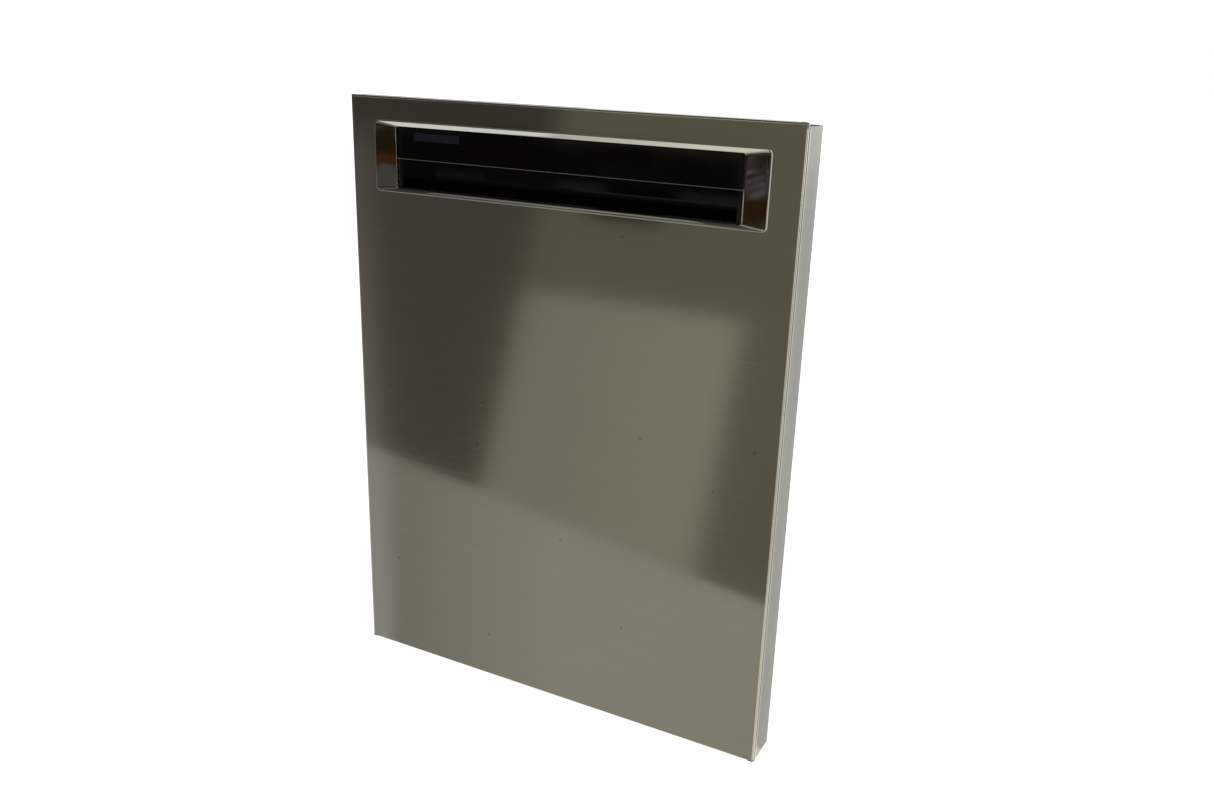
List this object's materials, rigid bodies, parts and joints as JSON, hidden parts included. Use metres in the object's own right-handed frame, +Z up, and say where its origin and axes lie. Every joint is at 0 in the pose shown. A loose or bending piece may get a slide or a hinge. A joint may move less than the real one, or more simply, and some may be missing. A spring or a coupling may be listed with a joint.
{
  "type": "built-in dishwasher door",
  "caption": "Built-in dishwasher door in brushed stainless steel with a chrome-edged pocket handle, top controls, latch, dispenser, vent and hinge arms.",
  "frame": {"origin": "bottom centre of the whole door's bounding box: middle of the width, on the level of the panel's bottom edge, half-way between the bezel's front and the rear of the hinge arms", "axes": "+X to the right as seen from in front of the closed door, +Y away from the viewer towards the tub, +Z up"},
  "size_m": [0.6, 0.0872, 0.775],
  "materials": {
    "face_steel": "brushed across the width, satin, with a smudge-resistant clear coat",
    "side_steel": "plain satin, grain along the height",
    "liner_steel": "satin, fine grain along the height",
    "zinc_steel": "zinc plated, dull with a faint spangle",
    "screw_steel": "bright stainless",
    "chrome_trim": "mirror-bright plated moulding",
    "black_gloss": "deep polished black",
    "console_black": "fine moulded grain",
    "black_plastic": "plain moulded",
    "button_plastic": "satin moulded",
    "grey_plastic": "semi-gloss moulded, light grey",
    "blue_plastic": "satin moulded",
    "red_plastic": "satin moulded",
    "nylon": "natural nylon, slightly waxy",
    "tinted_lens": "smoke tinted, polished",
    "clear_lens": "frosted light guide",
    "seal_rubber": "matt with a moulded flash line",
    "bitumen": "dull, slightly dimpled",
    "loom_sleeve": "taped braid",
    "felt": "needled recycled fibre",
    "circuit_board": "solder mask over laminate",
    "brass_case": "dull drawn"
  },
  "bodies": {
    "door": {"outer_panel": "face_steel", "side_channel_left": "side_steel", "side_channel_right": "side_steel", "bottom_rail": "zinc_steel", "damping_sheet": "bitumen", "insulation_blanket": "felt", "handle_bezel": "chrome_trim", "handle_fascia": "black_gloss", "display_window": "tinted_lens", "display_board": "circuit_board", "display_housing": "black_plastic", "handle_cup": "black_gloss", "handle_gasket": "seal_rubber", "handle_nuts": "zinc_steel", "inner_panel": "liner_steel", "inner_panel_screws": "screw_steel", "lower_seal": "seal_rubber", "seal_retainer": "liner_steel", "hinge_arm_left": "zinc_steel", "hinge_arm_right": "zinc_steel", "hinge_bush_left": "nylon", "hinge_bush_right": "nylon", "hinge_screws": "screw_steel", "dispenser_body": "grey_plastic", "dispenser_gasket": "seal_rubber", "lid_pin": "screw_steel", "lid_spring": "screw_steel", "rinse_window": "clear_lens", "dispenser_actuator": "black_plastic", "vent_housing": "grey_plastic", "vent_gasket": "seal_rubber", "vent_grille": "grey_plastic", "vent_motor": "brass_case", "vent_duct": "black_plastic", "latch_housing": "black_plastic", "latch_pin": "screw_steel", "latch_spring": "screw_steel", "door_switch": "black_plastic", "control_console": "console_black", "console_screws": "screw_steel", "control_board": "circuit_board", "board_cover": "black_plastic", "indicator_lights": "clear_lens", "wiring_loom": "loom_sleeve", "loom_clips": "nylon", "loom_grommet": "seal_rubber"},
    "latch_hook": {"latch_hook": "zinc_steel"},
    "switch_plunger": {"switch_plunger": "red_plastic"},
    "power_button": {"power_button": "button_plastic"},
    "cycle_button": {"cycle_button": "button_plastic"},
    "options_button": {"options_button": "button_plastic"},
    "dry_button": {"dry_button": "button_plastic"},
    "delay_button": {"delay_button": "button_plastic"},
    "start_button": {"start_button": "button_plastic"},
    "lid_button": {"lid_button": "blue_plastic"},
    "rinse_cap": {"rinse_cap": "blue_plastic"},
    "vent_valve": {"vent_valve": "grey_plastic"},
    "dispenser_lid": {"dispenser_lid": "grey_plastic", "lid_gasket": "seal_rubber"}
  },
  "joints": [
    {"name": "power_button_press", "type": "slide", "parent": "door", "child": "power_button", "axis": [0, 0, -1], "range_m": [0, 0.001], "stiffness_N_per_m": 800, "springref_m": -0.0005},
    {"name": "cycle_button_press", "type": "slide", "parent": "door", "child": "cycle_button", "axis": [0, 0, -1], "range_m": [0, 0.001], "stiffness_N_per_m": 800, "springref_m": -0.0005},
    {"name": "options_button_press", "type": "slide", "parent": "door", "child": "options_button", "axis": [0, 0, -1], "range_m": [0, 0.001], "stiffness_N_per_m": 800, "springref_m": -0.0005},
    {"name": "dry_button_press", "type": "slide", "parent": "door", "child": "dry_button", "axis": [0, 0, -1], "range_m": [0, 0.001], "stiffness_N_per_m": 800, "springref_m": -0.0005},
    {"name": "delay_button_press", "type": "slide", "parent": "door", "child": "delay_button", "axis": [0, 0, -1], "range_m": [0, 0.001], "stiffness_N_per_m": 800, "springref_m": -0.0005},
    {"name": "start_button_press", "type": "slide", "parent": "door", "child": "start_button", "axis": [0, 0, -1], "range_m": [0, 0.001], "stiffness_N_per_m": 800, "springref_m": -0.0005},
    {"name": "latch_hook_pivot", "type": "hinge", "parent": "door", "child": "latch_hook", "pos_m": [0, -0.0064, 0.736], "axis": [1, 0, 0], "range_deg": [0, 18], "stiffness_Nm_per_rad": 0.05, "springref_deg": -11.46},
    {"name": "switch_plunger_press", "type": "slide", "parent": "door", "child": "switch_plunger", "axis": [0, -1, 0], "range_m": [0, 0.0025], "stiffness_N_per_m": 200, "springref_m": -0.001},
    {"name": "dispenser_lid_hinge", "type": "hinge", "parent": "door", "child": "dispenser_lid", "pos_m": [0.015, 0.0296, 0.369], "axis": [-1, 0, 0], "range_deg": [0, 110]},
    {"name": "lid_button_press", "type": "slide", "parent": "dispenser_lid", "child": "lid_button", "axis": [0, -1, 0], "range_m": [0, 0.002], "stiffness_N_per_m": 300, "springref_m": -0.001},
    {"name": "rinse_cap_turn", "type": "hinge", "parent": "door", "child": "rinse_cap", "pos_m": [0.073, 0.0256, 0.45], "axis": [0, 1, 0], "range_deg": [0, 90]},
    {"name": "vent_valve_slide", "type": "slide", "parent": "door", "child": "vent_valve", "axis": [0, -1, 0], "range_m": [0, 0.008], "stiffness_N_per_m": 150, "springref_m": -0.002}
  ]
}
